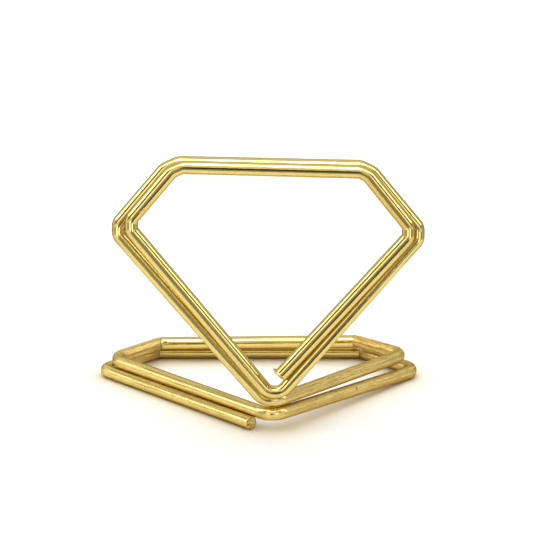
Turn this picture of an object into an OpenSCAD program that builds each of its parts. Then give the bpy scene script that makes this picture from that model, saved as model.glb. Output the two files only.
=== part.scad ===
// Memo holder bent from one length of round brass wire.
// Two gem-shaped turns stand upright and pinch a memo between them,
// and two more lie flat behind them as the base.
// Millimetres, +Z up, the clip faces -Y.

/* [Wire] */
// Diameter of the wire
wire_d = 2; // [1.6:0.1:2.4]
// Least gap between turns that lie against each other
turn_gap = 0.1; // [0.05:0.05:0.3]
// Inside radius of the bends at the clip's side corners
clip_corner_inner_r = 1.2; // [0.4:0.1:1.8]
// Inside radius of the bends at the base's side corners
base_corner_inner_r = 1.5; // [0.4:0.1:1.8]
// Inside radius of the last side corner, before the lower cut end
last_corner_inner_r = 0.4; // [0.2:0.1:1.8]
// Inside radius of the bends at the point of each turn
point_inner_r = 0.9; // [0.2:0.1:1.4]
// Length of the straight twist run between the two bends of a point
twist_run = 0.2; // [0.2:0.1:1]
// How much thinner the wire is in its bends, where it was stretched
bend_thin = 0.02; // [0.01:0.01:0.06]

/* [Memo clip] */
// Width of the front turn between its side corners, at the wire's centre
clip_corner_w = 41.3; // [36:0.1:46]
// Width of the front turn's top edge between its corners
clip_top_w = 27.1; // [22:0.1:31]
// Height from the side corners up to the top edge
clip_crown_h = 8.7; // [6:0.1:12]
// Height from the clip's lower bend up to the side corners
clip_leg_h = 25.15; // [22:0.05:30]
// Depth of the front turn's point below its side corners
clip_point_h = 24.4; // [21:0.1:26]
// Inside radius of the bends at the top corners
clip_top_inner_r = 3.5; // [1:0.1:5]
// Tilt of the clip towards its right side, in degrees
clip_roll = 1.25; // [0:0.05:3]
// Sideways place of the clip's middle from the base's front bend
clip_x = -0.4; // [-2:0.1:2]
// Sideways place of the clip's lower bend
clip_bend_x = 0.45; // [-1:0.05:1]
// Sideways place of the foot bend
foot_x = -0.2; // [-1:0.05:1]
// How far the rear turn's legs lie outside the front turn's
clip_leg_nest = 1.95; // [1.6:0.05:2.4]
// How far the rear turn's shoulders lie outside the front turn's
clip_shoulder_nest = 0.55; // [0.3:0.05:1.2]
// How far the rear turn's top edge lies above the front turn's
clip_top_nest = 0.1; // [0:0.05:1]
// Sideways shift of the rear turn against the front turn
clip_turn_shift = -0.25; // [-0.6:0.05:0.6]
// Extra gap between the clip's lower bend and the foot bend
foot_room = 0.2; // [0:0.05:0.6]
// Slope from the foot bend up to the clip's lower bend, which lies in front of it, in degrees
foot_slope = 48; // [40:1:60]
// Length of wire left off between the front turn's point and its cut end
clip_end_cut = 2.9; // [1.6:0.1:6]

/* [Base] */
// Width of the upper turn between its side corners, at the wire's centre
base_corner_w = 45; // [40:0.1:50]
// Width of the upper turn's back edge between its corners
base_back_w = 31; // [26:0.1:35]
// Depth from the side corners back to the back edge
base_crown_d = 7.85; // [5:0.05:11]
// Depth from the front bend back to the side corners
base_leg_d = 25.6; // [22:0.1:30]
// Inside radius of the bends at the back corners
base_back_inner_r = 0.4; // [0.2:0.1:3]
// Sideways place of the base's middle from its front bend
base_x = -2.1; // [-4:0.1:2]
// How far the lower turn's front legs lie outside the upper turn's
base_leg_nest = 1; // [0.8:0.05:1.4]
// How far the lower turn's right shoulder lies outside the upper turn's
base_shoulder_nest = 1.4; // [0.8:0.05:1.8]
// How far the lower turn's left shoulder lies outside the upper turn's
left_shoulder_nest = 1.65; // [0.8:0.05:1.9]
// How far the lower turn's back edge lies behind the upper turn's
base_back_nest = 1.7; // [0.8:0.05:1.8]
// Sideways shift of the lower turn against the upper turn
base_turn_shift = 0.35; // [0:0.05:0.5]
// How far the upper turn's right corner climbs above its left corner
corner_climb = 0.7; // [0:0.1:1.5]
// How far the front bend drops below the upper turn's left corner
front_drop = 0.3; // [0:0.05:0.6]
// Sideways lean of the lower turn's last leg towards the front bend, at its point
base_end_lean = 0.5; // [0:0.05:0.8]
// Length of wire left off between the lower turn's point and its cut end
base_end_cut = 2.7; // [2:0.1:8]

/* [Hidden] */
$fn = 48;

BRASS = [0.83, 0.69, 0.33];
wire_r = wire_d / 2;
lay = wire_d + turn_gap;

clip_corner_r = clip_corner_inner_r + wire_r;
base_corner_r = base_corner_inner_r + wire_r;
last_corner_r = last_corner_inner_r + wire_r;
point_r = point_inner_r + wire_r;
clip_top_r = clip_top_inner_r + wire_r;
base_back_r = base_back_inner_r + wire_r;

// How far a bend's round runs on inside the straight wire beside it
bend_lap = 0.05;

function unit(v) = v / norm(v);
function turned(p, a) = [p.x * cos(a) - p.y * sin(a), p.x * sin(a) + p.y * cos(a)];
function moved(points, by) = [for (p = points) p + by];

// Outline of a turn, anticlockwise: point, right corner, top right, top left, left corner.
// Its side corners lie on the X axis.
function gem(corner_w, top_w, crown, point) = [
  [0, -point], [corner_w / 2, 0], [top_w / 2, crown], [-top_w / 2, crown], [-corner_w / 2, 0]];

// Where the line through a along s meets the line through b along t
function crossing(a, s, b, t) =
  a + s * ((b.x - a.x) * t.y - (b.y - a.y) * t.x) / (s.x * t.y - s.y * t.x);

// An outline whose side i, from point i to the next, is moved outward by nests[i]
function grown(points, nests) =
  let (
    n = len(points),
    along = [for (i = [0:n - 1]) unit(points[(i + 1) % n] - points[i])],
    on = [for (i = [0:n - 1]) points[i] + nests[i] * [along[i].y, -along[i].x]]
  ) [for (i = [0:n - 1])
      let (j = (i + n - 1) % n)
      crossing(on[j], along[j], on[i], along[i])];

// Base outlines, seen from above
base_upper = moved(gem(base_corner_w, base_back_w, base_crown_d, base_leg_d), [base_x, base_leg_d]);
base_nests = [base_leg_nest, base_shoulder_nest, base_back_nest, left_shoulder_nest, base_leg_nest];
base_lower = moved(grown(base_upper, base_nests), [base_turn_shift, 0]);

// Heights of the base: the upper turn's left leg lies on the lower turn's
left_leg = unit(base_upper[4] - base_upper[0]);
left_nest = base_leg_nest - base_turn_shift * left_leg.y;
upper_z = wire_r + sqrt(lay * lay - left_nest * left_nest);
front_z = upper_z - front_drop;
foot_z = front_z + lay;

// The clip's lower bend lies in front of and above the foot bend
foot_nest = lay + foot_room;
clip_bend_y = -foot_nest * cos(foot_slope);
clip_bend_z = foot_z + foot_nest * sin(foot_slope);
front_y = clip_bend_y - lay / 2;
rear_y = clip_bend_y + lay / 2;

// Clip outlines, seen from the front
clip_front_flat = gem(clip_corner_w, clip_top_w, clip_crown_h, clip_point_h);
clip_nests = [clip_leg_nest, clip_shoulder_nest, clip_top_nest, clip_shoulder_nest, clip_leg_nest];
clip_rear_flat = moved(grown(clip_front_flat, clip_nests), [clip_turn_shift, 0]);
clip_middle = [clip_x, clip_bend_z + clip_leg_h];
clip_front = [for (p = clip_front_flat) turned(p, -clip_roll) + clip_middle];
clip_rear = [for (p = clip_rear_flat) turned(p, -clip_roll) + clip_middle];

// Middles of the twist runs, where the wire runs along X and one turn passes into the next
clip_bend = [clip_bend_x, clip_bend_y, clip_bend_z];
foot_bend = [foot_x, 0, foot_z];
front_bend = [0, 0, front_z];

function upright(p, y) = [p.x, y, p.y];
function lying(p, z) = [p.x, p.y, z];

// Where a leg from a corner meets the twist run's line, to one side of its middle.
// The bend there takes up some of that line, by the leg's own slope, so it is found in steps.
function point_corner(corner, twist, side, steps = 4) =
  let (
    near = steps == 0 ? twist : point_corner(corner, twist, side, steps - 1),
    slope = acos(abs(unit(corner - near).x))
  ) twist + side * [twist_run / 2 + point_r * tan(slope / 2), 0, 0];

// Cut ends, back along the last leg from the outline's point
clip_end = clip_front[0] + clip_end_cut * unit(clip_front[1] - clip_front[0]);
base_aim = base_lower[0] + [base_end_lean, 0];
base_end = base_aim + base_end_cut * unit(base_lower[4] - base_aim);

// Each path is a list of [corner, bend radius], from the upper cut end to the lower one
clip_front_path = [
  [upright(clip_end, front_y), 0],
  [upright(clip_front[1], front_y), clip_corner_r],
  [upright(clip_front[2], front_y), clip_top_r],
  [upright(clip_front[3], front_y), clip_top_r],
  [upright(clip_front[4], front_y), clip_corner_r],
  [point_corner(upright(clip_front[4], front_y), clip_bend, -1), point_r],
  [clip_bend, 0]];
clip_rear_path = [
  [clip_bend, 0],
  [point_corner(upright(clip_rear[1], rear_y), clip_bend, 1), point_r],
  [upright(clip_rear[1], rear_y), clip_corner_r],
  [upright(clip_rear[2], rear_y), clip_top_r],
  [upright(clip_rear[3], rear_y), clip_top_r],
  [upright(clip_rear[4], rear_y), clip_corner_r],
  [point_corner(upright(clip_rear[4], rear_y), foot_bend, -1), point_r],
  [foot_bend, 0]];
base_upper_path = [
  [foot_bend, 0],
  [point_corner(lying(base_upper[1], upper_z + corner_climb), foot_bend, 1), point_r],
  [lying(base_upper[1], upper_z + corner_climb), base_corner_r],
  [lying(base_upper[2], upper_z + corner_climb / 2), base_back_r],
  [lying(base_upper[3], upper_z), base_back_r],
  [lying(base_upper[4], upper_z), base_corner_r],
  [point_corner(lying(base_upper[4], upper_z), front_bend, -1), point_r],
  [front_bend, 0]];
base_lower_path = [
  [front_bend, 0],
  [point_corner(lying(base_lower[1], wire_r), front_bend, 1), point_r],
  [lying(base_lower[1], wire_r), base_corner_r],
  [lying(base_lower[2], wire_r), base_back_r],
  [lying(base_lower[3], wire_r), base_back_r],
  [lying(base_lower[4], wire_r), last_corner_r],
  [lying(base_end, wire_r), 0]];

// Direction of leg i, turning angle at corner i, and length of leg that its bend takes up
function leg(path, i) = unit(path[i + 1][0] - path[i][0]);
function inner(path, i) = i > 0 && i < len(path) - 1;
function turn_angle(path, i) = acos(leg(path, i - 1) * leg(path, i));
function taken(path, i) = inner(path, i) ? path[i][1] * tan(turn_angle(path, i) / 2) : 0;

// The lower turn's side corners, its back edge and the front turn bound the part, whose middle is the origin
function bend_centre(path, i) =
  let (mid = unit(leg(path, i) - leg(path, i - 1)))
  path[i][0] + mid * path[i][1] / cos(turn_angle(path, i) / 2);
right_tip = bend_centre(base_lower_path, 2).x + base_corner_r;
left_tip = bend_centre(base_lower_path, 5).x - last_corner_r;
middle = [(right_tip + left_tip) / 2, (base_lower[2].y + front_y) / 2, 0];

module straight(from, to) {
  run = to - from;
  translate(from)
    rotate([0, acos(run.z / norm(run)), atan2(run.y, run.x)])
      cylinder(d = wire_d, h = norm(run));
}

// A round bend from the start point, along the way it sets out, about an axis
module bend(start, way, axis, radius, angle) {
  out = -cross(axis, way);
  centre = start - radius * out;
  lap = asin(bend_lap / radius);
  multmatrix([
    [out.x, way.x, axis.x, centre.x],
    [out.y, way.y, axis.y, centre.y],
    [out.z, way.z, axis.z, centre.z]])
    rotate([0, 0, -lap])
      rotate_extrude(angle = angle + 2 * lap)
        translate([radius, 0])
          circle(d = wire_d - bend_thin);
}

module wire(path) {
  last = len(path) - 1;
  color(BRASS)
    translate(-middle)
      union() {
        for (i = [0:last - 1])
          straight(
            path[i][0] + leg(path, i) * taken(path, i),
            path[i + 1][0] - leg(path, i) * taken(path, i + 1));
        for (i = [1:last - 1])
          bend(
            path[i][0] - leg(path, i - 1) * taken(path, i),
            leg(path, i - 1),
            unit(cross(leg(path, i - 1), leg(path, i))),
            path[i][1],
            turn_angle(path, i));
      }
}

module clip_front_turn() wire(clip_front_path);
module clip_rear_turn() wire(clip_rear_path);
module base_upper_turn() wire(base_upper_path);
module base_lower_turn() wire(base_lower_path);

clip_front_turn();
clip_rear_turn();
base_upper_turn();
base_lower_turn();
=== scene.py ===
import math

import bmesh
import bpy
from bpy.props import FloatProperty, FloatVectorProperty, PointerProperty
from bpy.types import Operator, Panel, PropertyGroup
from mathutils import Euler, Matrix, Vector, kdtree, noise


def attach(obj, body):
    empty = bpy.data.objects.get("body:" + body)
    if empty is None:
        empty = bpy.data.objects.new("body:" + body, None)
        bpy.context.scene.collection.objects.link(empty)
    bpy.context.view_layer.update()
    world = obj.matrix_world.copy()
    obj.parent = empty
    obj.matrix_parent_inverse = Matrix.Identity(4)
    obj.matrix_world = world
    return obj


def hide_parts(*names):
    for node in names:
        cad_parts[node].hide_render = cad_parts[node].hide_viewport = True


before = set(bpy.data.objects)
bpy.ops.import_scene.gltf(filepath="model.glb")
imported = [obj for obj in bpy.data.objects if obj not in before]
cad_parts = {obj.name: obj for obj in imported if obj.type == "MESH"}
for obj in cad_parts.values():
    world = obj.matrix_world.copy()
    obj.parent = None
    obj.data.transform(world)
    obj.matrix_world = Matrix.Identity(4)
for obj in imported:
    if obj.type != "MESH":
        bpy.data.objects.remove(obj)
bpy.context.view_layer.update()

bl_info = {
    "name": "Brass memo holder",
    "version": (1, 0, 0),
    "blender": (4, 5, 0),
    "location": "3D View > Sidebar > Memo holder",
    "description": "Bends the four turns of a brass wire memo holder and sets its stage",
    "category": "Add Mesh",
}

MM = 0.001

# The camera, looking down by so many degrees, with its lens and film in millimetres
CAMERA_PITCH = 16.0
CAMERA_LENS = 209.72
CAMERA_FILM = 36.0
CAMERA_NEAR = 0.01
CAMERA_PLACE = (0.001205, -0.44802, 0.14892)


def length_prop(name, description, millimetres):
    return FloatProperty(
        name=name,
        description=description,
        default=millimetres * MM,
        subtype="DISTANCE",
        unit="LENGTH",
        precision=5,
    )


def nudge_prop(name, corner, right, up):
    return FloatVectorProperty(
        name=name,
        description=f"How far {corner} was bent from its even place, sideways and up",
        default=(right * MM, up * MM),
        size=2,
        unit="LENGTH",
        precision=5,
    )


def angle_prop(name, description, degrees):
    return FloatProperty(
        name=name,
        description=description,
        default=math.radians(degrees),
        subtype="ANGLE",
        unit="ROTATION",
    )


def share_prop(name, description, value, top=1.0):
    return FloatProperty(
        name=name,
        description=description,
        default=value,
        min=0.0,
        max=top,
        subtype="FACTOR",
    )


def colour_prop(name, description, colour):
    return FloatVectorProperty(
        name=name,
        description=description,
        default=colour,
        size=3,
        min=0.0,
        max=1.0,
        subtype="COLOR",
    )


class WireSizes(PropertyGroup):
    """Sizes of the wire and of the bends that all turns share."""

    diameter: length_prop("Diameter", "Diameter of the wire", 2.0)
    turn_gap: length_prop("Turn gap", "Least gap between turns that lie against each other", 0.1)
    clip_corner: length_prop("Clip corner radius", "Inside radius of the clip's side corners", 1.2)
    base_corner: length_prop("Base corner radius", "Inside radius of the base's side corners", 1.5)
    last_corner: length_prop("Last corner radius", "Inside radius of the corner by the lower cut end", 0.4)
    point: length_prop("Point radius", "Inside radius of the bends at the point of each turn", 0.9)
    twist_run: length_prop("Twist run", "Straight run between the two bends of a point", 0.2)
    corner_flat: length_prop("Corner flattening", "How far the outside of a bend is pressed flat", 0.10)
    side_kink: length_prop("Side kink radius", "Radius of both kinks in the clip's side corners", 1.3)
    top_kink: length_prop("Top kink radius", "Radius of both kinks in the clip's top corners", 1.8)
    burr: length_prop("Burr", "How far the cutter's lip stands out at the upper cut end", 0.40)


class ClipSizes(PropertyGroup):
    """Sizes of the two upright turns."""

    corner_width: length_prop("Corner width", "Width of the front turn between its side corners", 41.3)
    top_width: length_prop("Top width", "Width of the front turn's top edge", 27.1)
    crown_height: length_prop("Crown height", "Height from the side corners up to the top edge", 8.70)
    leg_height: length_prop("Leg height", "Height from the lower bend up to the side corners", 25.15)
    point_depth: length_prop("Point depth", "Depth of the front turn's point below its side corners", 24.4)
    left_radius: length_prop("Left top radius", "Inside radius of the front turn's left top corner", 2.65)
    right_radius: length_prop("Right top radius", "Inside radius of the front turn's right top corner", 1.8)
    roll: angle_prop("Roll", "Tilt of the clip towards its right side", 1.25)
    middle_x: length_prop("Middle", "Sideways place of the clip's middle", -0.4)
    bend_x: length_prop("Lower bend", "Sideways place of the clip's lower bend", 0.45)
    foot_x: length_prop("Foot bend", "Sideways place of the foot bend", -0.2)
    leg_nest: length_prop("Leg nest", "How far the rear turn's legs lie outside the front turn's", 1.95)
    shoulder_nest: length_prop("Shoulder nest", "How far the rear shoulders lie outside the front", 0.55)
    top_nest: length_prop("Top nest", "How far the rear top edge lies above the front one", 0.1)
    turn_shift: length_prop("Turn shift", "Sideways shift of the rear turn against the front turn", -0.25)
    foot_room: length_prop("Foot room", "Extra gap between the lower bend and the foot bend", 0.2)
    foot_slope: angle_prop("Foot slope", "Slope from the foot bend up to the lower bend", 48.0)
    end_cut: length_prop("End cut", "Wire left off between the front turn's point and its cut end", 2.9)
    front_point: nudge_prop("Front point", "the front turn's point", 0.23, 0.0)
    front_right: nudge_prop("Front right corner", "the front turn's right corner", 0.05, -0.16)
    front_top_right: nudge_prop("Front top right", "the front turn's right top corner", -0.05, -0.13)
    front_top_left: nudge_prop("Front top left", "the front turn's left top corner", 0.01, 0.0)
    front_left: nudge_prop("Front left corner", "the front turn's left corner", 0.23, 0.0)
    rear_right: nudge_prop("Rear right corner", "the rear turn's right corner", 0.18, 0.14)
    rear_top_right: nudge_prop("Rear top right", "the rear turn's right top corner", -0.02, -0.03)
    rear_top_left: nudge_prop("Rear top left", "the rear turn's left top corner", 0.06, -0.02)
    rear_left: nudge_prop("Rear left corner", "the rear turn's left corner", 0.11, -0.16)


class BaseSizes(PropertyGroup):
    """Sizes of the two turns that lie flat."""

    corner_width: length_prop("Corner width", "Width of the upper turn between its side corners", 45.0)
    back_width: length_prop("Back width", "Width of the upper turn's back edge", 31.0)
    crown_depth: length_prop("Crown depth", "Depth from the side corners to the back edge", 7.85)
    leg_depth: length_prop("Leg depth", "Depth from the front bend to the side corners", 25.6)
    back_radius: length_prop("Back corner radius", "Inside radius of the back corners", 0.4)
    middle_x: length_prop("Middle", "Sideways place of the base's middle", -2.1)
    leg_nest: length_prop("Leg nest", "How far the lower front legs lie outside the upper ones", 1.0)
    shoulder_nest: length_prop("Shoulder nest", "How far the lower right shoulder lies outside", 1.4)
    left_nest: length_prop("Left shoulder nest", "How far the lower left shoulder lies outside", 1.65)
    back_nest: length_prop("Back nest", "How far the lower back edge lies behind the upper one", 1.7)
    turn_shift: length_prop("Turn shift", "Sideways shift of the lower turn", 0.35)
    corner_climb: length_prop("Corner climb", "How far the right corner climbs above the left one", 0.62)
    front_drop: length_prop("Front drop", "How far the front bend drops below the left corner", 0.3)
    end_lean: length_prop("End lean", "Sideways lean of the last leg towards the front bend", 0.5)
    end_cut: length_prop("End cut", "Wire left off between the lower turn's point and its cut end", 2.7)
    left_sag: length_prop("Left sag", "How far the left corner sags onto the lower turn", 0.075)
    end_lift: length_prop("End lift", "How far the lower cut end lifts towards the upper turn", 0.06)


class BrassLooks(PropertyGroup):
    """Colours and polish of the wire."""

    polished: colour_prop("Polished brass", "Colour of the clean polished wire", (0.86, 0.675, 0.23))
    satin: colour_prop("Satin brass", "Colour of the brushed stretches", (0.90, 0.715, 0.285))
    warm: colour_prop("Warm brass", "Colour of the deeper drawing lines", (0.30, 0.195, 0.035))
    tarnish: colour_prop("Tarnish", "Colour of the thin brown bloom", (0.62, 0.36, 0.09))
    # Colour of the painted shade between turns, under the wire and in pits, and of dark specks and torn cut
    # metal
    grime_and_shade: colour_prop("Grime", "Colour where two turns keep the polishing wheel out", (0.22, 0.13, 0.02))
    rim: colour_prop("Rim", "Tint of the brass where it is seen at a flat angle", (0.42, 0.36, 0.27))
    cut: colour_prop("Cut face", "Colour of the freshly cut ends", (0.82, 0.66, 0.25))
    smooth: share_prop("Smoothest", "Roughness of the best polished stretches", 0.03)
    dull: share_prop("Dullest", "Roughness of the worst polished stretches", 0.09)
    brushed: share_prop("Brushed", "Roughness of the satin stretches", 0.72)
    line_depth: share_prop("Line depth", "How strongly the drawing lines show", 0.30)


class StageLooks(PropertyGroup):
    """The floor and the studio light."""

    floor: colour_prop("Floor", "Colour of the pale floor", (0.80, 0.80, 0.80))
    backdrop: colour_prop("Backdrop", "Colour of the plain backdrop behind the floor", (1.0, 1.0, 1.0))
    # Painted shadow and warm bounce light from the brass, laid on the floor beside it
    painted_glow_and_shadow: colour_prop("Glow", "Colour of the floor right beside the brass", (0.70, 0.585, 0.34))
    floor_light: share_prop("Floor light", "Brightness of the soft light on the floor", 1.98, 10.0)
    sides: share_prop("Sides", "Brightness of the room at the sides", 0.50)
    left_wall: share_prop("Left wall", "Brightness of the pale wall at the left", 1.0, 2.0)
    behind: share_prop("Behind", "Brightness of the room behind and above", 0.80)
    below: share_prop("Below", "Brightness of the floor that the wire mirrors", 1.02, 2.0)
    below_back: share_prop("Below, behind", "Brightness of that floor further back", 0.72, 2.0)
    front_wall: share_prop("Front wall", "Brightness of the wall above the camera", 0.88, 2.0)
    gaps: share_prop("Gaps", "Brightness between the panels at the camera's sides", 0.22)
    overhead: share_prop("Overhead softbox", "Brightness of the overhead softbox", 6.0, 40.0)
    strips: share_prop("Side strips", "Brightness of the strip lights at both sides", 4.5, 40.0)
    left_flank: share_prop("Left flank", "Brightness of the narrow panel left of the camera", 1.6, 40.0)
    right_flank: share_prop("Right flank", "Brightness of the narrow panel right of the camera", 1.7, 40.0)
    kick: share_prop("Kick", "Brightness of the small lights that the clip's corners mirror", 3.2, 40.0)
    shade: share_prop("Camera shade", "Brightness of the shade round the camera", 0.33)
    shade_core: share_prop("Camera shade core", "Brightness of the darkest part of that shade", 0.04)


class MemoHolder(PropertyGroup):
    """All sizes and looks of the memo holder."""

    wire: PointerProperty(type=WireSizes)
    clip: PointerProperty(type=ClipSizes)
    base: PointerProperty(type=BaseSizes)
    brass: PointerProperty(type=BrassLooks)
    stage: PointerProperty(type=StageLooks)


# Outlines of the turns

def gem(corner_w, top_w, crown, point):
    """Outline of a turn: point, right corner, top right, top left, left corner."""
    return [
        Vector((0.0, -point)),
        Vector((corner_w / 2, 0.0)),
        Vector((top_w / 2, crown)),
        Vector((-top_w / 2, crown)),
        Vector((-corner_w / 2, 0.0)),
    ]


def crossing(a, s, b, t):
    """Where the line through a along s meets the line through b along t."""
    return a + s * ((b.x - a.x) * t.y - (b.y - a.y) * t.x) / (s.x * t.y - s.y * t.x)


def grown(points, nests):
    """The outline with side i, from point i to the next, moved outward by nests[i]."""
    count = len(points)
    along = [(points[(i + 1) % count] - points[i]).normalized() for i in range(count)]
    on = [points[i] + nests[i] * Vector((along[i].y, -along[i].x)) for i in range(count)]
    return [crossing(on[i - 1], along[i - 1], on[i], along[i]) for i in range(count)]


def moved(points, x, y):
    return [p + Vector((x, y)) for p in points]


def turned(point, angle):
    """The point turned about the origin."""
    c = math.cos(angle)
    s = math.sin(angle)
    return Vector((point.x * c - point.y * s, point.x * s + point.y * c))


def upright(p, y):
    """A point of an upright turn, at its depth y."""
    return Vector((p.x, y, p.y))


def lying(p, z):
    """A point of a turn that lies flat, at its height z."""
    return Vector((p.x, p.y, z))


def point_corner(corner, twist, side, run, radius):
    """Where a leg meets the line of the twist run at the bottom of a point."""
    rounds = 5
    near = twist.copy()
    for _ in range(rounds):
        slope = math.acos(abs((corner - near).normalized().x))
        near = twist + Vector((side * (run / 2 + radius * math.tan(slope / 2)), 0.0, 0.0))
    return near


def bend_centre(path, i):
    """The centre of the bend at corner i."""
    into = (path[i][0] - path[i - 1][0]).normalized()
    out = (path[i + 1][0] - path[i][0]).normalized()
    return path[i][0] + (out - into).normalized() * path[i][1] / math.cos(into.angle(out) / 2)


def wire_paths(holder):
    """The four turns as lists of (corner, bend radius), in the part's own frame."""
    wire = holder.wire
    clip = holder.clip
    base = holder.base
    r = wire.diameter / 2
    lay = wire.diameter + wire.turn_gap
    clip_r = wire.clip_corner + r
    base_r = wire.base_corner + r
    last_r = wire.last_corner + r
    point_r = wire.point + r
    left_r = clip.left_radius + r
    right_r = clip.right_radius + r
    back_r = base.back_radius + r

    upper = gem(base.corner_width, base.back_width, base.crown_depth, base.leg_depth)
    upper = moved(upper, base.middle_x, base.leg_depth)
    nests = [base.leg_nest, base.shoulder_nest, base.back_nest, base.left_nest, base.leg_nest]
    lower = moved(grown(upper, nests), base.turn_shift, 0.0)

    left_leg = (upper[4] - upper[0]).normalized()
    left_nest = base.leg_nest - base.turn_shift * left_leg.y
    upper_z = r + math.sqrt(lay * lay - left_nest * left_nest)
    front_z = upper_z - base.front_drop
    foot_z = front_z + lay

    foot_nest = lay + clip.foot_room
    bend_y = -foot_nest * math.cos(clip.foot_slope)
    bend_z = foot_z + foot_nest * math.sin(clip.foot_slope)
    front_y = bend_y - lay / 2
    rear_y = bend_y + lay / 2

    flat = gem(clip.corner_width, clip.top_width, clip.crown_height, clip.point_depth)
    nests = [clip.leg_nest, clip.shoulder_nest, clip.top_nest, clip.shoulder_nest, clip.leg_nest]
    rear_flat = moved(grown(flat, nests), clip.turn_shift, 0.0)
    middle = Vector((clip.middle_x, bend_z + clip.leg_height))
    corners = ("right", "top_right", "top_left", "left")
    front_nudges = [clip.front_point] + [getattr(clip, f"front_{corner}") for corner in corners]
    rear_nudges = [(0.0, 0.0)] + [getattr(clip, f"rear_{corner}") for corner in corners]
    front = [turned(p, -clip.roll) + middle + Vector(n) for p, n in zip(flat, front_nudges)]
    rear = [turned(p, -clip.roll) + middle + Vector(n) for p, n in zip(rear_flat, rear_nudges)]

    clip_bend = Vector((clip.bend_x, bend_y, bend_z))
    foot_bend = Vector((clip.foot_x, 0.0, foot_z))
    front_bend = Vector((0.0, 0.0, front_z))

    clip_end = front[0] + clip.end_cut * (front[1] - front[0]).normalized()
    aim = lower[0] + Vector((base.end_lean, 0.0))
    base_end = aim + base.end_cut * (lower[4] - aim).normalized()

    def point(corner, twist, side):
        return point_corner(corner, twist, side, wire.twist_run, point_r)

    right_z = upper_z + base.corner_climb
    left_z = upper_z - base.left_sag
    paths = {
        "clip_front_turn": [
            (upright(clip_end, front_y), 0.0),
            (upright(front[1], front_y), clip_r),
            (upright(front[2], front_y), right_r),
            (upright(front[3], front_y), left_r),
            (upright(front[4], front_y), clip_r),
            (point(upright(front[4], front_y), clip_bend, -1), point_r),
            (clip_bend, 0.0),
        ],
        "clip_rear_turn": [
            (clip_bend, 0.0),
            (point(upright(rear[1], rear_y), clip_bend, 1), point_r),
            (upright(rear[1], rear_y), clip_r),
            (upright(rear[2], rear_y), right_r + clip.shoulder_nest),
            (upright(rear[3], rear_y), left_r + clip.shoulder_nest),
            (upright(rear[4], rear_y), clip_r),
            (point(upright(rear[4], rear_y), foot_bend, -1), point_r),
            (foot_bend, 0.0),
        ],
        "base_upper_turn": [
            (foot_bend, 0.0),
            (point(lying(upper[1], right_z), foot_bend, 1), point_r),
            (lying(upper[1], right_z), base_r),
            (lying(upper[2], upper_z + base.corner_climb / 2), back_r),
            (lying(upper[3], upper_z), back_r),
            (lying(upper[4], left_z), base_r),
            (point(lying(upper[4], left_z), front_bend, -1), point_r),
            (front_bend, 0.0),
        ],
        "base_lower_turn": [
            (front_bend, 0.0),
            (point(lying(lower[1], r), front_bend, 1), point_r),
            (lying(lower[1], r), base_r),
            (lying(lower[2], r), back_r),
            (lying(lower[3], r), back_r),
            (lying(lower[4], r), last_r),
            (lying(base_end, r + base.end_lift), 0.0),
        ],
    }
    low = paths["base_lower_turn"]
    right_tip = bend_centre(low, 2).x + base_r
    left_tip = bend_centre(low, 5).x - last_r
    origin = Vector(((right_tip + left_tip) / 2, (lower[2].y + front_y) / 2, 0.0))
    return {name: [(p - origin, radius) for p, radius in path] for name, path in paths.items()}


# Sweeping the wire along a path

AROUND = 64  # points round the wire
BEND_AT = 0.85  # share of a leg's step that its straight run takes
# Pits and grooves get painted shade, the full amount from this depth on
DARK_PIT = 0.08 * MM  # depth at which a pit is wholly dark
FLAT_FALLOFF = 3  # how fast the flattening of a bend dies away round the wire


class Station:
    """One place along the wire: its centre, its direction, and how it is bent there.

    Its place is the number of the leg plus the share of the leg, where the leg's straight run takes
    BEND_AT and the bend after it the rest.
    """

    def __init__(self, centre, along, outside=None, bent=0.0):
        self.centre = centre
        self.along = along
        self.outside = outside
        self.bent = bent
        self.run = 0.0
        self.side = None
        self.place = 0.0


def bend_moves(radius, angle, kink):
    """A bend as moves of (straight run, turn, radius), in two kinks where their radius is given."""
    if kink is None:
        return [(0.0, angle, radius)]
    lead = (radius - kink) * math.tan(angle / 4)
    half = (0.0, angle / 2, kink)
    return [(lead, 0.0, 0.0), half, (2 * lead, 0.0, 0.0), half, (lead, 0.0, 0.0)]


def bend_stations(start, along, axis, moves):
    """Stations through a bend, without its end."""
    bend_step = math.radians(3.0)
    fewest_steps = 4
    straight_step = 0.12 * MM
    whole = sum(turn for _, turn, _ in moves)
    done = 0.0
    found = []

    def add(at, heading, out, share):
        found.append((Station(at, heading, out, math.sin(math.pi * share)), share))

    for run, turn, radius in moves:
        outside = -axis.cross(along)
        if turn == 0.0:
            steps = max(1, math.ceil(run / straight_step))
            for k in range(steps):
                add(start + along * run * k / steps, along, outside, done / whole)
            start = start + along * run
            continue
        centre = start - outside * radius
        steps = max(fewest_steps, math.ceil(turn / bend_step))
        for k in range(steps + 1):
            c = math.cos(turn * k / steps)
            s = math.sin(turn * k / steps)
            out = outside * c + along * s
            heading = along * c - outside * s
            if k < steps:
                add(centre + out * radius, heading, out, (done + turn * k / steps) / whole)
        start = centre + out * radius
        along = heading
        done += turn
    return found


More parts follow.
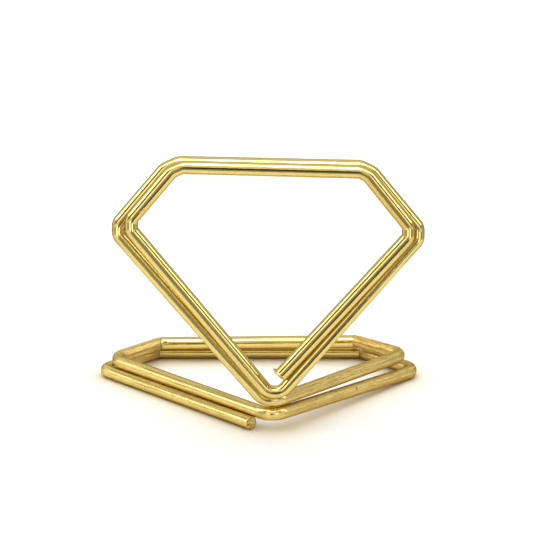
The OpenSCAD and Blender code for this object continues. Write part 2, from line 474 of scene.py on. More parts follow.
def stations(path, marks, kinks=None):
    """Stations along the path, close together in the bends and near the marks."""
    coarse = 0.5 * MM
    fine = 0.08 * MM
    shortest = 0.02 * MM
    count = len(path)
    legs = [(path[i + 1][0] - path[i][0]).normalized() for i in range(count - 1)]
    angles = [0.0] + [legs[i - 1].angle(legs[i]) for i in range(1, count - 1)] + [0.0]
    taken = [path[i][1] * math.tan(angles[i] / 2) for i in range(count)]
    found = []
    for i in range(count - 1):
        start = path[i][0] + legs[i] * taken[i]
        end = path[i + 1][0] - legs[i] * taken[i + 1]
        length = (end - start).length
        done = 0.0
        while done < length - shortest:
            here = start + legs[i] * done
            found.append(Station(here, legs[i]))
            found[-1].place = i + BEND_AT * done / length
            near = any((here - m.place).length < m.reach for m in marks)
            done += fine if near else coarse
        if i == count - 2:
            found.append(Station(end, legs[i]))
            found[-1].place = i + BEND_AT
            break
        axis = legs[i].cross(legs[i + 1]).normalized()
        kink = (kinks or {}).get(i + 1)
        moves = bend_moves(path[i + 1][1], angles[i + 1], kink)
        for here, share in bend_stations(end, legs[i], axis, moves):
            here.place = i + BEND_AT + (1.0 - BEND_AT) * share
            found.append(here)
    across = found[0].along.orthogonal().normalized()
    before = found[0]
    for here in found:
        here.run = before.run + (here.centre - before.centre).length
        across = before.along.rotation_difference(here.along) @ across
        across = (across - here.along * across.dot(here.along)).normalized()
        here.side = across
        before = here
    return found


class Mark:
    """A pit in the wire, or a ring round it, raised where its depth is negative.

    It dies away within EDGE sizes of its middle, and stations stand close together within its reach.
    """

    EDGE = 4
    NEAR = 3
    MARGIN = 1.2 * MM

    def __init__(self, place, size, depth, ring=None):
        self.place = place
        self.size = size
        self.depth = depth
        self.ring = ring
        self.reach = self.NEAR * size + self.MARGIN

    def share(self, point):
        """How much of the mark there is at a point on the wire."""
        if self.ring is not None:
            gap = abs((point - self.place).dot(self.ring))
        else:
            gap = (point - self.place).length
        return math.exp(-((gap / self.size) ** 2)) if gap < self.EDGE * self.size else 0.0


def pit(path, leg, share, rise, size, depth, radius):
    """A pit at a share of a leg's length, on the side that rises so many degrees to the front."""
    start = path[leg][0]
    along = (path[leg + 1][0] - start).normalized()
    facing = Vector((0.0, -math.cos(math.radians(rise)), math.sin(math.radians(rise))))
    out = (facing - along * facing.dot(along)).normalized()
    return Mark(start.lerp(path[leg + 1][0], share) + out * radius, size * MM, depth * MM)


def ring(path, leg, share, size, depth):
    """A ring round a leg that the bending tool's edge left."""
    start = path[leg][0]
    along = (path[leg + 1][0] - start).normalized()
    return Mark(start.lerp(path[leg + 1][0], share), size * MM, depth * MM, along)


class Finish:
    """How satin and how brown the wire is along a turn, and how much painted shade darkens one side of it.

    Each step is (place, satin, brown, shade). The painted shade sits under the wire where low is set, from
    that share of the radius above its middle down, else on the inside of the turn where it is positive
    and on the outside where it is negative, the sides that face the other turn.
    """

    LOW_FADE = 0.5
    SIDE_FROM = 0.7
    SIDE_FADE = 0.19

    def __init__(self, *steps, low=None):
        self.steps = steps
        self.low = low

    def at(self, place):
        """Satin, brown and grime at a place along the turn."""
        before = self.steps[0]
        for step in self.steps:
            if step[0] >= place:
                share = (place - before[0]) / (step[0] - before[0]) if step[0] > before[0] else 1.0
                return [a + (b - a) * share for a, b in zip(before[1:], step[1:])]
            before = step
        return list(before[1:])

    def grime_and_shade(self, amount, out, inward):
        """How much of an amount of painted shade there is on the side of the wire that faces out."""
        if self.low is not None:
            return amount * min(1.0, max(0.0, self.low - out.z) / self.LOW_FADE)
        side = out.dot(inward) if amount > 0 else -out.dot(inward)
        return abs(amount) * min(1.0, max(0.0, side - self.SIDE_FROM) / self.SIDE_FADE)


def sweep(name, path, wire, marks, finish, kinks=None, cut_start=None, cut_end=None):
    """A closed tube along the path, kinked at some corners, with a cut face where one is given."""
    radius = wire.diameter / 2
    line = stations(path, marks, kinks)
    middle = sum((here.centre for here in line), Vector()) / len(line)
    bm = bmesh.new()
    drawn = bm.verts.layers.float_vector.new("drawn")
    worn_and_shaded = bm.verts.layers.float_vector.new("worn_and_shaded")
    cut = bm.verts.layers.float.new("cut")
    rings = []
    for here in line:
        other = here.along.cross(here.side)
        satin, brown, grime_and_shade = finish.at(here.place)
        inward = middle - here.centre
        inward = (inward - here.along * inward.dot(here.along)).normalized()
        close = [m for m in marks if (here.centre - m.place).length < m.reach]
        lip = 0.0 if cut_start is None else cut_start.lip(here.run)
        ring = []
        for k in range(AROUND):
            turn = 2 * math.pi * k / AROUND
            out = here.side * math.cos(turn) + other * math.sin(turn)
            reach = radius
            if here.outside is not None:
                pressed = max(0.0, out.dot(here.outside)) ** FLAT_FALLOFF
                reach -= wire.corner_flat * here.bent * pressed
            if lip > 0.0:
                reach += cut_start.flare(out) * lip
            at = here.centre + out * reach
            # Painted shade: darker under the wire or on the side that faces the other turn, and in pits and
            # grooves
            painted_shade = finish.grime_and_shade(grime_and_shade, out, inward)
            for m in close:
                share = m.share(at)
                at = at - out * m.depth * share
                painted_shade = max(painted_shade, share * min(1.0, m.depth / DARK_PIT))
            vert = bm.verts.new(at)
            vert[drawn] = Vector((math.cos(turn), math.sin(turn), here.run / radius))
            wear_and_shade = zip((satin, brown, painted_shade), CutFace.LIP_WEAR)
            vert[worn_and_shaded] = Vector([max(a, b * lip) for a, b in wear_and_shade])
            ring.append(vert)
        rings.append(ring)
    for a, b in zip(rings, rings[1:]):
        for k in range(AROUND):
            j = (k + 1) % AROUND
            bm.faces.new((a[k], a[j], b[j], b[k]))
    for ring, here, way, shape in (
        (rings[0], line[0], -1, cut_start),
        (rings[-1], line[-1], 1, cut_end),
    ):
        close_end(bm, ring, here, way, shape, drawn, worn_and_shaded, cut)
    for face in bm.faces:
        face.smooth = True
    bmesh.ops.recalc_face_normals(bm, faces=bm.faces[:])
    for ring in (rings[0], rings[-1]):
        for k in range(AROUND):
            edge = bm.edges.get((ring[k], ring[(k + 1) % AROUND]))
            edge.smooth = False
    mesh = bpy.data.meshes.new(name)
    bm.to_mesh(mesh)
    bm.free()
    piece = bpy.data.objects.new(name, mesh)
    bpy.context.scene.collection.objects.link(piece)
    return piece


def close_end(bm, ring, here, way, shape, drawn, worn_and_shaded, cut):
    """Closes a tube, flat where it meets the next turn, or with the face of a cut end."""
    out = here.along * way
    flat = [(0.5, 0.0)]
    levels = flat if shape is None else shape.levels
    before = ring
    for share, rise in levels:
        level = []
        for vert in ring:
            arm = vert.co - here.centre
            at = here.centre + arm * share + out * rise
            if shape is not None:
                at = at + out * shape.grain(at, share)
            new = bm.verts.new(at)
            new[drawn] = Vector((vert[drawn].x * share, vert[drawn].y * share, vert[drawn].z))
            if shape is not None:
                new[cut] = 1.0
                new[worn_and_shaded] = shape.wear_and_shade(share)
            level.append(new)
        for k in range(AROUND):
            j = (k + 1) % AROUND
            bm.faces.new((before[k], before[j], level[j], level[k]))
        before = level
    last = bm.verts.new(here.centre + out * levels[-1][1])
    last[drawn] = Vector((0.0, 0.0, ring[0][drawn].z))
    if shape is not None:
        last[cut] = 1.0
        last[worn_and_shaded] = shape.wear_and_shade(0.0)
    for k in range(AROUND):
        bm.faces.new((before[k], before[(k + 1) % AROUND], last))


class CutFace:
    """The face that the cutter left: a turned-over rim, a grainy middle and a lip to one side.

    SHARES are the shares of the radius at which the face has a ring of points. LIP_WEAR is how satin,
    brown and grimy the lip is.
    """

    SHARES = (0.985, 0.955, 0.92, 0.88, 0.83, 0.77, 0.70, 0.62, 0.53, 0.43, 0.32, 0.2, 0.08)
    RIM_WIDTH = 0.06
    COARSE_GRAIN = 0.22 * MM
    FINE_GRAIN = 0.10 * MM
    FINE_SHARE = 0.7
    SMOOTH_RIM = 0.1
    SATIN = 0.6
    DARK_RING = (0.80, 0.93)
    RING_GRIME = 0.55
    LIP_RUN = 0.19 * MM
    LIP_END = 0.6 * MM
    LIP_EDGE = 8
    LIP_ALL_ROUND = 0.3
    LIP_WEAR = (0.6, 0.6, 0.3)

    def __init__(self, rim, bulge, grit, burr, burr_side):
        self.grit = grit
        self.burr = burr
        self.burr_side = burr_side
        self.levels = []
        for share in self.SHARES:
            turned_over = rim * min(1.0, (1.0 - share) / self.RIM_WIDTH)
            self.levels.append((share, turned_over + bulge * (1.0 - share)))

    def grain(self, at, share):
        """How far a point of the face is raised."""
        speck = noise.noise(at / self.COARSE_GRAIN) + self.FINE_SHARE * noise.noise(at / self.FINE_GRAIN)
        return self.grit * speck * min(1.0, (1.0 - share) / self.SMOOTH_RIM)

    def wear_and_shade(self, share):
        """Satin, brown and grime of the face, with a dark ring inside its rim."""
        inner, outer = self.DARK_RING
        return Vector((self.SATIN, 0.0, self.RING_GRIME if inner < share < outer else 0.0))

    def lip(self, run):
        """How much of the lip there is at a distance from the cut."""
        return 1.0 / (1.0 + (run / self.LIP_RUN) ** self.LIP_EDGE) if run < self.LIP_END else 0.0

    def flare(self, out):
        """How far the lip stands out on each side of the wire."""
        side = max(0.0, out.dot(self.burr_side)) ** 2
        return self.burr * (self.LIP_ALL_ROUND + (1.0 - self.LIP_ALL_ROUND) * side)


# Brass

def new_material(name):
    material = bpy.data.materials.new(name)
    material.use_nodes = True
    material.node_tree.nodes.clear()
    return material, material.node_tree


def node(tree, kind, **values):
    """A new node with its own settings."""
    made = tree.nodes.new(kind)
    for key, value in values.items():
        setattr(made, key, value)
    return made


def feed(tree, socket, value):
    """Feeds a socket from another one, or sets it to a plain number or colour."""
    if hasattr(value, "links"):
        tree.links.new(value, socket)
    elif isinstance(value, tuple):
        socket.default_value = (*value, 1.0)
    else:
        socket.default_value = value


def attribute(tree, name):
    """The outputs of what the mesh holds under a name."""
    return node(tree, "ShaderNodeAttribute", attribute_name=name).outputs


def stretched_noise(tree, where, around, along, detail, rough):
    """Noise drawn out along the wire, finer around it."""
    scaled = node(tree, "ShaderNodeVectorMath", operation="MULTIPLY")
    scaled.inputs[1].default_value = (around, around, along)
    tree.links.new(where, scaled.inputs[0])
    made = node(tree, "ShaderNodeTexNoise")
    made.inputs["Scale"].default_value = 1.0
    made.inputs["Detail"].default_value = detail
    made.inputs["Roughness"].default_value = rough
    tree.links.new(scaled.outputs[0], made.inputs["Vector"])
    return made.outputs["Fac"]


def ranged(tree, value, low, high, to_low, to_high):
    """The value, stretched from between low and high to between two others."""
    made = node(tree, "ShaderNodeMapRange")
    made.inputs["From Min"].default_value = low
    made.inputs["From Max"].default_value = high
    made.inputs["To Min"].default_value = to_low
    made.inputs["To Max"].default_value = to_high
    tree.links.new(value, made.inputs["Value"])
    return made.outputs["Result"]


def mixed(tree, kind, share, a, b):
    made = node(tree, "ShaderNodeMix", data_type=kind)
    for name, value in (("Factor", share), ("A", a), ("B", b)):
        feed(tree, made.inputs[name], value)
    return made.outputs["Result"]


def blended(tree, share, a, b):
    """A colour between a and b."""
    return mixed(tree, "RGBA", share, a, b)


def shared(tree, share, a, b):
    """A number between a and b."""
    return mixed(tree, "FLOAT", share, a, b)


def summed(tree, operation, a, b=None):
    """The result of one sum, either side of which may be a plain number."""
    made = node(tree, "ShaderNodeMath", operation=operation)
    feed(tree, made.inputs[0], a)
    if b is not None:
        feed(tree, made.inputs[1], b)
    return made.outputs[0]


def times(tree, a, b):
    return summed(tree, "MULTIPLY", a, b)


def plus(tree, a, b):
    return summed(tree, "ADD", a, b)


def brass_wire(looks):
    """Drawn brass: polished or satin by stretch, with drawing lines, brown bloom and cut ends."""
    name = "polished_brass_wire"
    found = bpy.data.materials.get(name)
    if found is not None:
        return found
    material, tree = new_material(name)
    out = node(tree, "ShaderNodeOutputMaterial")
    shader = node(tree, "ShaderNodeBsdfPrincipled")
    shader.inputs["Metallic"].default_value = 1.0
    shader.inputs["Specular Tint"].default_value = (*looks.rim, 1.0)
    tree.links.new(shader.outputs["BSDF"], out.inputs["Surface"])
    where = attribute(tree, "drawn")["Vector"]
    ends = attribute(tree, "cut")["Fac"]
    wear_and_shade = node(tree, "ShaderNodeSeparateXYZ")
    tree.links.new(attribute(tree, "worn_and_shaded")["Vector"], wear_and_shade.inputs[0])
    satin, brown, grime_and_shade = wear_and_shade.outputs

    lines = stretched_noise(tree, where, around=5.0, along=0.75, detail=3.0, rough=0.65)
    streaks = stretched_noise(tree, where, around=3.0, along=0.035, detail=2.0, rough=0.6)
    broad = stretched_noise(tree, where, around=2.2, along=0.05, detail=2.0, rough=0.5)
    bloom = stretched_noise(tree, where, around=1.1, along=0.45, detail=5.0, rough=0.62)
    grain = stretched_noise(tree, where, around=11.0, along=5.0, detail=3.0, rough=0.65)
    specks = stretched_noise(tree, where, around=7.5, along=6.0, detail=2.0, rough=0.5)
    grit = stretched_noise(tree, where, around=4.5, along=4.5, detail=3.0, rough=0.6)

    # Colour: lines and specks show most on the satin, and painted shade between turns, under the wire and
    # in pits covers all
    line_on_polish = 0.15
    line_on_satin = 0.85
    brown_share = 0.4
    colour = blended(tree, satin, tuple(looks.polished), tuple(looks.satin))
    thin = summed(tree, "ABSOLUTE", summed(tree, "SUBTRACT", streaks, 0.5))
    shown = shared(tree, satin, line_on_polish, line_on_satin)
    deep = times(tree, shown, ranged(tree, thin, 0.018, 0.062, 1.0, 0.0))
    colour = blended(tree, deep, colour, tuple(looks.warm))
    dashed = times(tree, shown, ranged(tree, lines, 0.51, 0.66, 0.0, 0.85))
    colour = blended(tree, dashed, colour, tuple(looks.warm))
    patches = ranged(tree, bloom, 0.55, 0.80, 0.0, 0.30)
    spread = plus(tree, times(tree, brown, brown_share), patches)
    colour = blended(tree, spread, colour, tuple(looks.tarnish))
    pitted = times(tree, satin, ranged(tree, specks, 0.58, 0.70, 0.0, 0.55))
    colour = blended(tree, pitted, colour, tuple(looks.grime_and_shade))
    torn = ranged(tree, grit, 0.47, 0.62, 0.0, 0.75)
    face = blended(tree, torn, tuple(looks.cut), tuple(looks.grime_and_shade))
    colour = blended(tree, ends, colour, face)
    # Painted shade between the turns, under the wire and in pits, where the mesh marks it
    colour = blended(tree, grime_and_shade, colour, tuple(looks.grime_and_shade))
    tree.links.new(colour, shader.inputs["Base Color"])

    # Polish, which a little satin hardly dulls
    satin_power = 1.5
    uneven = 0.08
    polish = ranged(tree, broad, 0.3, 0.7, looks.smooth, looks.dull)
    brushed = ranged(tree, grain, 0.3, 0.7, looks.brushed - uneven, looks.brushed + uneven)
    rough = shared(tree, summed(tree, "POWER", satin, satin_power), polish, brushed)
    tree.links.new(shared(tree, grime_and_shade, rough, looks.brushed), shader.inputs["Roughness"])

    # Relief of the drawing lines, the satin grain and the torn metal of the cut ends
    grain_height = 0.6
    line_height = 0.02 * MM
    relief = plus(tree, lines, times(tree, times(tree, grain, satin), grain_height))
    relief = shared(tree, ends, relief, grit)
    bump = node(tree, "ShaderNodeBump")
    bump.inputs["Strength"].default_value = looks.line_depth
    bump.inputs["Distance"].default_value = line_height
    tree.links.new(relief, bump.inputs["Height"])
    tree.links.new(bump.outputs["Normal"], shader.inputs["Normal"])
    return material


# The four turns

def clip_kinks(wire, first):
    """The kinks in the four corners of an upright turn, the first of which is a side corner."""
    radii = (wire.side_kink, wire.top_kink, wire.top_kink, wire.side_kink)
    return dict(enumerate(radii, first))


def dress(piece, body, cad_node):
    """Gives a turn its brass and lets it ride in place of its CAD node."""
    piece.data.materials.append(brass_wire(bpy.context.scene.memo_holder.brass))
    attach(piece, body)
    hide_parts(cad_node)


class MEMO_OT_front_clip_turn(Operator):
    """Bend the front upright turn, from the upper cut end to the clip's lower bend"""

    bl_idname = "memo_holder.front_clip_turn"
    bl_label = "Front clip turn"
    bl_options = {"REGISTER", "UNDO"}

    def execute(self, context):
        holder = context.scene.memo_holder
        path = wire_paths(holder)["clip_front_turn"]
        r = holder.wire.diameter / 2
        end = CutFace(
            rim=0.06 * MM,
            bulge=0.05 * MM,
            grit=0.03 * MM,
            burr=holder.wire.burr,
            burr_side=Vector((-0.75, 0.0, 0.66)),
        )
        # A mark of no depth, so that stations stand close together along the lip
        lip_place = Mark(path[0][0], 0.3 * MM, 0.0)
        marks = [
            lip_place,
            pit(path, 3, 0.684, -35, 0.16, 0.05, r),
            pit(path, 3, 0.74, -25, 0.12, 0.04, r),
            pit(path, 3, 0.56, -38, 0.10, 0.03, r),
        ]
        finish = Finish(
            (0.0, 0.05, 0.15, -0.5), (0.85, 0.05, 0.2, -0.5), (1.0, 0.1, 0.9, 0.0), (1.85, 0.1, 0.8, 0.0),
            (2.0, 0.0, 0.1, 0.0), (2.85, 0.0, 0.1, 0.0), (3.0, 0.05, 0.15, 0.0), (3.85, 0.05, 0.2, 0.0),
            (4.0, 0.12, 0.15, -0.25), (4.85, 0.12, 0.1, -0.25), (5.0, 0.1, 0.1, 0.0),
        )
        kinks = clip_kinks(holder.wire, 1)
        piece = sweep("front_clip_wire", path, holder.wire, marks, finish, kinks, cut_start=end)
        dress(piece, "front_clip", "clip_front_turn")
        return {"FINISHED"}


class MEMO_OT_rear_clip_turn(Operator):
    """Bend the rear upright turn, from the clip's lower bend to the foot bend"""

    bl_idname = "memo_holder.rear_clip_turn"
    bl_label = "Rear clip turn"
    bl_options = {"REGISTER", "UNDO"}

    def execute(self, context):
        holder = context.scene.memo_holder
        path = wire_paths(holder)["clip_rear_turn"]
        finish = Finish(
            (0.0, 0.1, 0.1, 0.0), (1.0, 0.1, 0.2, 0.0), (1.1, 0.1, 0.1, 0.6), (1.85, 0.1, 0.1, 0.6),
            (2.0, 0.15, 0.6, 0.6), (2.15, 0.15, 0.6, 0.0), (2.85, 0.12, 0.5, 0.0), (3.0, 0.0, 0.1, 0.0),
            (3.85, 0.0, 0.1, 0.0), (4.0, 0.05, 0.15, 0.0), (4.7, 0.1, 0.15, 0.0), (4.85, 0.1, 0.15, 0.6),
            (5.8, 0.15, 0.05, 0.6), (6.0, 0.35, 0.3, 0.0), (6.85, 0.35, 0.3, 0.0),
        )
        kinks = clip_kinks(holder.wire, 2)
        piece = sweep("rear_clip_wire", path, holder.wire, [], finish, kinks)
        dress(piece, "rear_clip", "clip_rear_turn")
        return {"FINISHED"}


class MEMO_OT_upper_base_turn(Operator):
    """Bend the upper flat turn, from the foot bend to the base's front bend"""

    bl_idname = "memo_holder.upper_base_turn"
    bl_label = "Upper base turn"
    bl_options = {"REGISTER", "UNDO"}

    def execute(self, context):
        holder = context.scene.memo_holder
        path = wire_paths(holder)["base_upper_turn"]
        finish = Finish(
            (0.0, 0.35, 0.3, 0.0), (0.85, 0.35, 0.3, 0.0), (1.0, 0.52, 0.35, 0.0), (1.15, 0.63, 0.35, 0.0),
            (1.85, 0.65, 0.35, 0.0), (2.1, 1.0, 0.7, 0.0), (2.95, 1.0, 0.7, 0.0), (3.0, 0.0, 0.1, 0.45),
            (3.85, 0.0, 0.1, 0.45), (3.88, 0.8, 0.2, 0.1), (4.85, 0.8, 0.2, 0.1), (5.0, 0.57, 0.2, 0.7),
            (5.3, 0.37, 0.0, 0.7), (5.8, 0.26, 0.0, 0.7), (5.86, 0.6, 0.1, 0.0), (5.92, 0.6, 0.2, 0.0),
            (5.96, 0.0, 0.1, 0.0),
            low=-0.4,
        )
        r = holder.wire.diameter / 2
        marks = [
            ring(path, 3, 0.008, 0.13, -0.09),
            ring(path, 3, 0.020, 0.05, 0.06),
            ring(path, 3, -0.004, 0.05, 0.06),
            ring(path, 3, 0.990, 0.05, 0.09),
            pit(path, 3, 0.973, 22, 0.24, 0.08, r),
            pit(path, 3, 0.963, 20, 0.18, 0.08, r),
            pit(path, 3, 0.985, 18, 0.14, -0.05, r),
            pit(path, 4, 0.05, 5, 0.20, -0.08, r),
            pit(path, 5, 0.50, 60, 0.12, 0.04, r),
            pit(path, 1, 0.37, 35, 0.12, 0.04, r),
            pit(path, 1, 0.61, 10, 0.14, 0.04, r),
        ]
        piece = sweep("upper_base_wire", path, holder.wire, marks, finish)
        dress(piece, "upper_base", "base_upper_turn")
        return {"FINISHED"}


class MEMO_OT_lower_base_turn(Operator):
    """Bend the lower flat turn, from the base's front bend to the lower cut end"""

    bl_idname = "memo_holder.lower_base_turn"
    bl_label = "Lower base turn"
    bl_options = {"REGISTER", "UNDO"}

    def execute(self, context):
        holder = context.scene.memo_holder
        path = wire_paths(holder)["base_lower_turn"]
        end = CutFace(
            rim=0.08 * MM,
            bulge=0.04 * MM,
            grit=0.06 * MM,
            burr=0.0,
            burr_side=Vector((0.0, 0.0, 1.0)),
        )
        finish = Finish(
            (0.0, 0.0, 0.1, 0.0), (0.89, 0.0, 0.2, 0.0), (0.93, 0.6, 0.3, 0.0), (1.1, 0.68, 0.6, 0.1),
            (1.85, 0.68, 0.6, 0.1), (2.0, 0.64, 0.3, 0.1), (2.95, 0.64, 0.2, 0.1), (3.0, 0.1, 0.1, 0.2),
            (3.85, 0.1, 0.1, 0.2), (3.88, 0.62, 0.0, 0.0), (5.0, 0.62, 0.0, 0.0), (5.2, 0.40, 0.0, 0.0),
            (5.85, 0.37, 0.0, 0.0),
            low=0.3,
        )
        r = holder.wire.diameter / 2
        marks = [
            pit(path, 1, 0.526, 23, 0.24, 0.10, r),
            pit(path, 1, 0.36, 22, 0.14, 0.04, r),
            pit(path, 1, 0.65, 5, 0.14, 0.04, r),
            pit(path, 1, 0.25, 0, 0.14, 0.04, r),
            pit(path, 3, 0.034, 36, 0.20, 0.08, r),
            ring(path, 3, 0.010, 0.05, 0.06),
            ring(path, 3, 0.990, 0.05, 0.06),
            pit(path, 5, 0.326, 0, 0.14, 0.05, r),
            pit(path, 5, 0.61, 20, 0.14, 0.04, r),
        ]
        piece = sweep("lower_base_wire", path, holder.wire, marks, finish, cut_end=end)
        dress(piece, "lower_base", "base_lower_turn")
        return {"FINISHED"}


# Stage

def floor_paper(looks):
    """Pale matt paper with a faint tooth, with painted shadow and warm bounce light beside the brass that
    lies on it.
    """
    roughness = 0.9
    tooth_scale = 900.0
    tooth_shade = 0.985
    material, tree = new_material("pale_floor")
    out = node(tree, "ShaderNodeOutputMaterial")
    shader = node(tree, "ShaderNodeBsdfPrincipled")
    shader.inputs["Roughness"].default_value = roughness
    shader.inputs["Specular IOR Level"].default_value = 0.0
    tree.links.new(shader.outputs["BSDF"], out.inputs["Surface"])
    where = node(tree, "ShaderNodeTexCoord").outputs["Object"]
    tooth = stretched_noise(tree, where, tooth_scale, tooth_scale, detail=3.0, rough=0.6)
    shade = ranged(tree, tooth, 0.3, 0.7, 0.0, 1.0)
    darker = tuple(tooth_shade * c for c in looks.floor)
    colour = blended(tree, shade, darker, tuple(looks.floor))
    # Painted shadow and warm bounce light, strongest right beside the wire, with a fainter spread where
    # much wire lies near
    painted_glow_and_shadow = attribute(tree, "painted_glow_and_shadow")["Fac"]
    tree.links.new(blended(tree, painted_glow_and_shadow, colour, tuple(looks.painted_glow_and_shadow)), shader.inputs["Base Color"])
    return material


def floor_sheet(name, lefts, fronts, left_out=None):
    """A flat sheet of floor with edges at the given places, less the part inside left_out."""
    bm = bmesh.new()
    rows = [[bm.verts.new((x, y, 0.0)) for x in lefts] for y in fronts]
    for j in range(len(fronts) - 1):
        for i in range(len(lefts) - 1):
            if left_out != (i, j):
                bm.faces.new((rows[j][i], rows[j][i + 1], rows[j + 1][i + 1], rows[j + 1][i]))
    mesh = bpy.data.meshes.new(name)
    bm.to_mesh(mesh)
    bm.free()
    sheet = bpy.data.objects.new(name, mesh)
    bpy.context.scene.collection.objects.link(sheet)
    return sheet


def paint_floor_glow_and_shadow(sheet, holder):
    """Marks how much painted shadow and warm bounce light from the brass falls on each point of the floor,
    beside it and further off.
    """
    beside = 0.40
    beside_reach = 1.5 * MM
    further = 0.20
    further_reach = 7.0 * MM
    further_gain = 9.0
    every = 6
    paths = wire_paths(holder)
    base = stations(paths["base_upper_turn"], []) + stations(paths["base_lower_turn"], [])
    places = [Vector((here.centre.x, here.centre.y, 0.0)) for here in base]
    nearest = kdtree.KDTree(len(places))
    for i, place in enumerate(places):
        nearest.insert(place, i)
    nearest.balance()
    some = places[::every]
    painted_glow_and_shadow = sheet.data.attributes.new("painted_glow_and_shadow", "FLOAT", "POINT")
    for i, vert in enumerate(sheet.data.vertices):
        gap = max(0.0, nearest.find(vert.co)[2] - holder.wire.diameter / 2)
        spill = sum(math.exp(-(place - vert.co).length / further_reach) for place in some)
        spill = min(1.0, spill * further_gain / len(some))
        painted_glow_and_shadow.data[i].value = beside * math.exp(-gap / beside_reach) + further * spill


def lay_floor(holder):
    """The floor round the holder, and the wide floor that its polish doesn't mirror."""
    paper = floor_paper(holder.stage)
    near_x = 42 * MM
    near_y = 36 * MM
    wide = 1.5
    step = 0.75 * MM
    across = [-near_x + step * i for i in range(round(2 * near_x / step) + 1)]
    deep = [-near_y + step * i for i in range(round(2 * near_y / step) + 1)]
    near = floor_sheet("floor_near", across, deep)
    paint_floor_glow_and_shadow(near, holder)
    lefts = (-wide, -near_x, near_x, wide)
    fronts = (-wide, -near_y, near_y, wide)
    far = floor_sheet("floor_wide", lefts, fronts, left_out=(1, 1))
    far.visible_glossy = False
    far.visible_shadow = False
    for sheet in (near, far):
        sheet.data.materials.append(paper)


def softened(tree, value, low, high):
    """Rises smoothly from 0 at low to 1 at high, or falls where low is the greater."""
    made = node(tree, "ShaderNodeMapRange", interpolation_type="SMOOTHSTEP")
    made.inputs["From Min"].default_value = low
    made.inputs["From Max"].default_value = high
    tree.links.new(value, made.inputs["Value"])
    return made.outputs["Result"]


class Room:
    """The room round the holder, painted by the direction in which each thing stands.

    Bearings count from the camera's side, right positive, and rises from level. Leans count from
    upright as the camera sees it, and offs from the camera. All are in degrees.
    """

    LOWEST = 0.05
    CEILING_RISES = (20.0, 30.0)

    def __init__(self, tree):
        self.tree = tree
        where = node(tree, "ShaderNodeTexCoord").outputs["Generated"]
        way = node(tree, "ShaderNodeSeparateXYZ")
        tree.links.new(where, way.inputs[0])
        x, y, z = way.outputs
        front = times(tree, y, -1.0)
        self.bearing = summed(tree, "DEGREES", summed(tree, "ARCTAN2", x, front))
        self.rise = summed(tree, "DEGREES", summed(tree, "ARCSINE", z))
        high = summed(tree, "MAXIMUM", z, self.LOWEST)
        pitch = math.radians(CAMERA_PITCH)
        toward = self.weighed(front, math.cos(pitch), z, math.sin(pitch))
        self.off = summed(tree, "DEGREES", summed(tree, "ARCCOSINE", toward))
        lean = summed(tree, "ARCTAN2", x, self.weighed(front, -math.sin(pitch), z, math.cos(pitch)))
        self.lean = summed(tree, "ABSOLUTE", summed(tree, "DEGREES", lean))
        self.across = summed(tree, "DIVIDE", x, high)
        self.forward = summed(tree, "DIVIDE", front, high)
        self.colour = None

    def weighed(self, a, a_share, b, b_share):
        return plus(self.tree, times(self.tree, a, a_share), times(self.tree, b, b_share))

    def within(self, value, low, high, soft):
        """1 between low and high, and 0 beyond their soft edges."""
        off = summed(self.tree, "ABSOLUTE", summed(self.tree, "SUBTRACT", value, (low + high) / 2))
        half = (high - low) / 2
        return softened(self.tree, off, half + soft, half - soft)

    def add(self, share, brightness):
        """Paints a grey over what is there, all over the room where nothing is yet."""
        grey = (brightness, brightness, brightness)
        self.colour = grey if self.colour is None else blended(self.tree, share, self.colour, grey)

    def panel(self, bearings, rises, soft, brightness):
        """A panel between two bearings and two rises."""
        wide = self.within(self.bearing, *bearings, soft)
        tall = self.within(self.rise, *rises, soft)
        self.add(times(self.tree, wide, tall), brightness)

    def arch(self, leans, offs, slope, soft, brightness):
        """A band on both sides, between two leans and two offs that grow with the lean."""
        wide = self.within(self.lean, *leans, soft)
        shift = times(self.tree, self.lean, -slope)
        tall = self.within(plus(self.tree, self.off, shift), *offs, soft)
        self.add(times(self.tree, wide, tall), brightness)

    def ceiling(self, across, forward, soft, brightness):
        """A panel in the ceiling, in heights of the ceiling to the right and towards the camera."""
        wide = self.within(self.across, *across, soft)
        deep = self.within(self.forward, *forward, soft)
        share = times(self.tree, wide, deep)
        above = softened(self.tree, self.rise, *self.CEILING_RISES)
        self.add(times(self.tree, share, above), brightness)


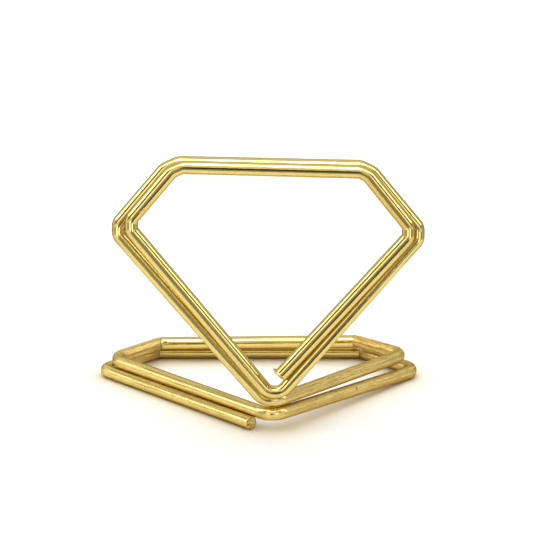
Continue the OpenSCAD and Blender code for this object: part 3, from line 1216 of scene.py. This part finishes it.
def soft_room(looks):
    """A pale room with softboxes above and at the sides, and shade where the camera stands."""
    even_share = 0.8
    world = bpy.data.worlds.new("soft_room")
    world.use_nodes = True
    tree = world.node_tree
    room = Room(tree)
    # The floor, the sides and the far half of the room
    room.add(None, looks.below)
    aside = summed(tree, "ABSOLUTE", room.bearing)
    room.add(softened(tree, aside, 100.0, 125.0), looks.below_back)
    room.add(softened(tree, room.rise, -30.0, -12.0), looks.sides)
    away = softened(tree, aside, 118.0, 150.0)
    room.add(times(tree, away, softened(tree, room.rise, -5.0, 12.0)), looks.behind)
    room.add(softened(tree, room.rise, 32.0, 62.0), looks.behind)
    # Walls, with dark gaps between the panels
    room.panel((-46.0, 46.0), (6.0, 52.0), 4.0, looks.front_wall)
    room.panel((-113.0, -86.0), (-24.0, 33.0), 6.0, looks.left_wall)
    room.panel((-70.0, -41.0), (6.0, 40.0), 3.0, looks.gaps)
    room.panel((46.0, 72.0), (6.0, 36.0), 3.0, looks.gaps)
    # Lights at the sides, beside the camera and overhead
    room.panel((-97.0, -71.0), (20.0, 38.0), 3.0, looks.strips)
    room.panel((72.0, 91.0), (19.0, 33.0), 3.0, looks.strips)
    room.panel((-36.0, -21.0), (1.0, 18.0), 3.0, looks.left_flank)
    room.panel((28.0, 43.0), (0.0, 15.0), 3.0, looks.right_flank)
    room.arch((18.0, 58.0), (43.0, 62.0), 0.4, 3.0, looks.strips)
    room.ceiling((-0.42, 0.42), (0.14, 0.72), 0.06, looks.overhead)
    # The floor towards the camera, and the shade round it
    room.panel((-78.0, 74.0), (-60.0, 0.0), 4.0, looks.below)
    room.panel((-20.0, 28.0), (-32.0, 5.0), 4.0, looks.shade)
    room.panel((-11.0, 11.0), (3.0, 17.0), 2.5, looks.shade_core)
    room.panel((-4.0, 4.0), (-10.0, 16.0), 2.0, looks.shade_core)
    room.panel((4.0, 26.0), (-33.0, -16.0), 3.0, looks.shade_core)
    room.panel((-76.0, -26.0), (-22.0, -9.0), 3.0, looks.sides)
    room.panel((33.0, 72.0), (-22.0, -9.0), 3.0, looks.shade)
    room.panel((-24.0, -10.0), (-21.0, -11.0), 2.0, looks.kick)
    room.panel((13.0, 29.0), (-21.0, -11.0), 2.0, looks.kick)
    # Matt things take an evened light, and the camera sees the plain backdrop
    above = times(tree, softened(tree, room.rise, 0.0, 60.0), looks.floor_light)
    evened = blended(tree, even_share, room.colour, above)
    path = node(tree, "ShaderNodeLightPath").outputs
    seen = blended(tree, path["Is Diffuse Ray"], room.colour, evened)
    seen = blended(tree, path["Is Camera Ray"], seen, tuple(looks.backdrop))
    tree.links.new(seen, tree.nodes["Background"].inputs["Color"])
    world.cycles.sampling_method = "NONE"
    return world


class MEMO_OT_stage(Operator):
    """Lay the pale floor, light the room and place the camera"""

    bl_idname = "memo_holder.stage"
    bl_label = "Floor, light and camera"
    bl_options = {"REGISTER", "UNDO"}

    def execute(self, context):
        scene = context.scene
        looks = scene.memo_holder.stage
        lay_floor(scene.memo_holder)
        scene.world = soft_room(looks)
        lens = bpy.data.cameras.new("camera")
        lens.lens = CAMERA_LENS
        lens.sensor_width = CAMERA_FILM
        lens.sensor_fit = "HORIZONTAL"
        lens.clip_start = CAMERA_NEAR
        camera = bpy.data.objects.new("camera", lens)
        camera.location = CAMERA_PLACE
        camera.rotation_euler = Euler((math.radians(90.0 - CAMERA_PITCH), 0.0, 0.0))
        scene.collection.objects.link(camera)
        scene.camera = camera
        scene.view_settings.view_transform = "Standard"
        scene.view_settings.look = "None"
        return {"FINISHED"}


class MEMO_PT_panel(Panel):
    """The memo holder's pieces and sizes"""

    bl_idname = "MEMO_PT_panel"
    bl_label = "Memo holder"
    bl_space_type = "VIEW_3D"
    bl_region_type = "UI"
    bl_category = "Memo holder"

    def draw(self, context):
        layout = self.layout
        for operator in OPERATORS:
            layout.operator(operator.bl_idname)
        holder = context.scene.memo_holder
        for group in (holder.wire, holder.clip, holder.base, holder.brass, holder.stage):
            box = layout.box()
            for name in group.__annotations__:
                box.prop(group, name)


GROUPS = (WireSizes, ClipSizes, BaseSizes, BrassLooks, StageLooks, MemoHolder)
OPERATORS = (
    MEMO_OT_front_clip_turn,
    MEMO_OT_rear_clip_turn,
    MEMO_OT_upper_base_turn,
    MEMO_OT_lower_base_turn,
    MEMO_OT_stage,
)
CLASSES = (*GROUPS, *OPERATORS, MEMO_PT_panel)


def register():
    for made in CLASSES:
        bpy.utils.register_class(made)
    bpy.types.Scene.memo_holder = PointerProperty(type=MemoHolder)


def unregister():
    del bpy.types.Scene.memo_holder
    for made in reversed(CLASSES):
        bpy.utils.unregister_class(made)


def main():
    register()
    bpy.ops.memo_holder.stage()
    bpy.ops.memo_holder.front_clip_turn()
    bpy.ops.memo_holder.rear_clip_turn()
    bpy.ops.memo_holder.upper_base_turn()
    bpy.ops.memo_holder.lower_base_turn()


if __name__ == "__main__":
    main()
